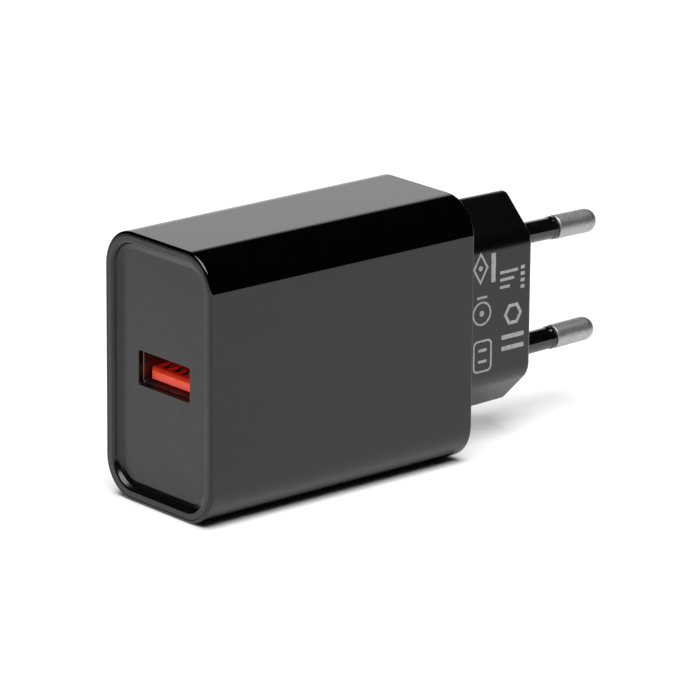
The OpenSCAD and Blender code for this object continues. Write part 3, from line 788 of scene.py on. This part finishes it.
VIEW_AZIMUTH = math.radians(49.158)
VIEW_ELEVATION = math.radians(17.114)
VIEW_TILT = math.radians(0.491)
VIEW_DISTANCE = 0.80793
VIEW_RIGHT = 0.009375
VIEW_DOWN = 0.000652
LENS_MM = 262.0
back = Vector((math.sin(VIEW_AZIMUTH) * math.cos(VIEW_ELEVATION),
               -math.cos(VIEW_AZIMUTH) * math.cos(VIEW_ELEVATION), math.sin(VIEW_ELEVATION)))
right = Vector((math.cos(VIEW_AZIMUTH), math.sin(VIEW_AZIMUTH), 0))
up = back.cross(right)
body_middle = (sleeve_low + sleeve_high) / 2
behind = Vector((-back.x, -back.y, 0)).normalized()


TABLE_GLOW = 0.39
# The patch of painted shadow where the paper doesn't glow: its half sizes round the charger's middle, and
# how far it fades into the glow
PAINTED_SHADE_HALF_T = 10.0 * MM
PAINTED_SHADE_HALF_D = 26.0 * MM
PAINTED_SHADE_FADE = 2.5 * MM


def paper_material():
    g = Graph("paper")
    g.link(g.mix(g.noise(40), (0.61, 0.61, 0.61), (0.63, 0.63, 0.63)), g.shader.inputs["Base Color"])
    # The paper glows a little, as on a light table, which lightens the shadows on it; under the charger and
    # just round it the glow stops, leaving a dark patch of painted shadow
    split = g.add("ShaderNodeSeparateXYZ")
    g.link(g.place, split.inputs[0])
    beyond = []
    for side, middle, half in (("X", body_middle.x, PAINTED_SHADE_HALF_T), ("Y", body_middle.y, PAINTED_SHADE_HALF_D)):
        away = g.maths("ABSOLUTE", g.maths("SUBTRACT", split.outputs[side], middle))
        beyond.append(g.maths("SUBTRACT", away, half))
    outside = g.maths("MAXIMUM", *beyond)
    g.shader.inputs["Emission Color"].default_value = (1, 1, 1, 1)
    g.link(g.remap(outside, 0.0, PAINTED_SHADE_FADE, 0.0, TABLE_GLOW), g.shader.inputs["Emission Strength"])
    g.shader.inputs["Roughness"].default_value = 0.9
    g.shader.inputs["Specular IOR Level"].default_value = 0.1
    return g.material


def flat_sheet(name, centre, along, across, half_l, half_w):
    """A rectangle spanned by two directions."""
    mesh = bpy.data.meshes.new(name)
    corners = [centre + along * (s * half_l) + across * (t * half_w)
               for s, t in ((-1, -1), (1, -1), (1, 1), (-1, 1))]
    mesh.from_pydata(corners, [], [(0, 1, 2, 3)])
    obj = bpy.data.objects.new(name, mesh)
    bpy.context.scene.collection.objects.link(obj)
    return obj


# A roll of white paper under the charger, running away from the camera
FLOOR_HALF_W = 0.30
FLOOR_HALF_L = 1.15
floor_middle = Vector((body_middle.x, body_middle.y, cad_bounds[0].z))
floor = flat_sheet("paper_floor", floor_middle, behind, right, FLOOR_HALF_L, FLOOR_HALF_W)
floor.data.materials.append(paper_material())

# A lit card that stands at the paper's far end and fades out towards its top
CARD_DISTANCE = 1.12
CARD_HEIGHT = 0.86
CARD_HALF_W = 0.36
CARD_GLOW = 1.08
CARD_RISE_Z = (0.38, 0.52)
CARD_FALL_Z = (0.54, 0.80)
CARD_RISE = 1.35


def card_material():
    """A glow that strengthens a little with height and then dies away."""
    g = Graph("card_glow")
    height = g.add("ShaderNodeSeparateXYZ")
    g.link(g.place, height.inputs[0])
    rise = g.remap(height.outputs["Z"], *CARD_RISE_Z, CARD_GLOW, CARD_GLOW * CARD_RISE)
    fall = g.remap(height.outputs["Z"], *CARD_FALL_Z, 1.0, 0.0)
    emission = g.add("ShaderNodeEmission")
    g.link(g.times(rise, fall), emission.inputs["Strength"])
    g.link(emission.outputs[0], g.tree.nodes["Material Output"].inputs["Surface"])
    g.tree.nodes.remove(g.shader)
    return g.material


card = flat_sheet("lit_card", floor_middle + behind * CARD_DISTANCE + Vector((0, 0, CARD_HEIGHT / 2)),
                  Vector((0, 0, 1)), right, CARD_HEIGHT / 2, CARD_HALF_W)
card.visible_camera = False
card.data.materials.append(card_material())


def softbox(name, size, power, place, aim):
    """A square soft light."""
    light = bpy.data.lights.new(name, "AREA")
    light.shape = "SQUARE"
    light.size = size
    light.energy = power
    obj = bpy.data.objects.new(name, light)
    obj.location = place
    obj.rotation_euler = (aim - place).to_track_quat("-Z", "Y").to_euler()
    obj.visible_camera = False
    bpy.context.scene.collection.objects.link(obj)


OVERHEAD_SIZE = 1.2
OVERHEAD_WATTS = 35.0
OVERHEAD_HEIGHT = 1.3
OVERHEAD_FORWARD = 0.35
overhead_place = floor_middle - behind * OVERHEAD_FORWARD + Vector((0, 0, OVERHEAD_HEIGHT))
softbox("overhead", OVERHEAD_SIZE, OVERHEAD_WATTS, overhead_place, floor_middle)

# White to the camera, and dark to everything else so that the gloss stays black
DIM_SURROUNDINGS = 0.004
WHITE_BACKDROP = 1.0
world = bpy.data.worlds.new("studio")
bpy.context.scene.world = world
world.use_nodes = True
sky = world.node_tree.nodes["Background"]
path = world.node_tree.nodes.new("ShaderNodeLightPath")
tone = world.node_tree.nodes.new("ShaderNodeMapRange")
tone.inputs["To Min"].default_value = DIM_SURROUNDINGS
tone.inputs["To Max"].default_value = WHITE_BACKDROP
world.node_tree.links.new(path.outputs["Is Camera Ray"], tone.inputs["Value"])
world.node_tree.links.new(tone.outputs["Result"], sky.inputs["Strength"])
sky.inputs["Color"].default_value = (1, 1, 1, 1)

lens = bpy.data.cameras.new("camera")
lens.lens = LENS_MM
lens.sensor_width = 36.0
lens.clip_start = 0.01
camera = bpy.data.objects.new("camera", lens)
camera.location = body_middle + back * VIEW_DISTANCE + right * VIEW_RIGHT - up * VIEW_DOWN
tilt = Quaternion(back, VIEW_TILT)
camera.rotation_euler = (tilt @ (-back).to_track_quat("-Z", "Y")).to_euler()
bpy.context.scene.collection.objects.link(camera)
bpy.context.scene.camera = camera
bpy.context.scene.view_settings.view_transform = "Standard"
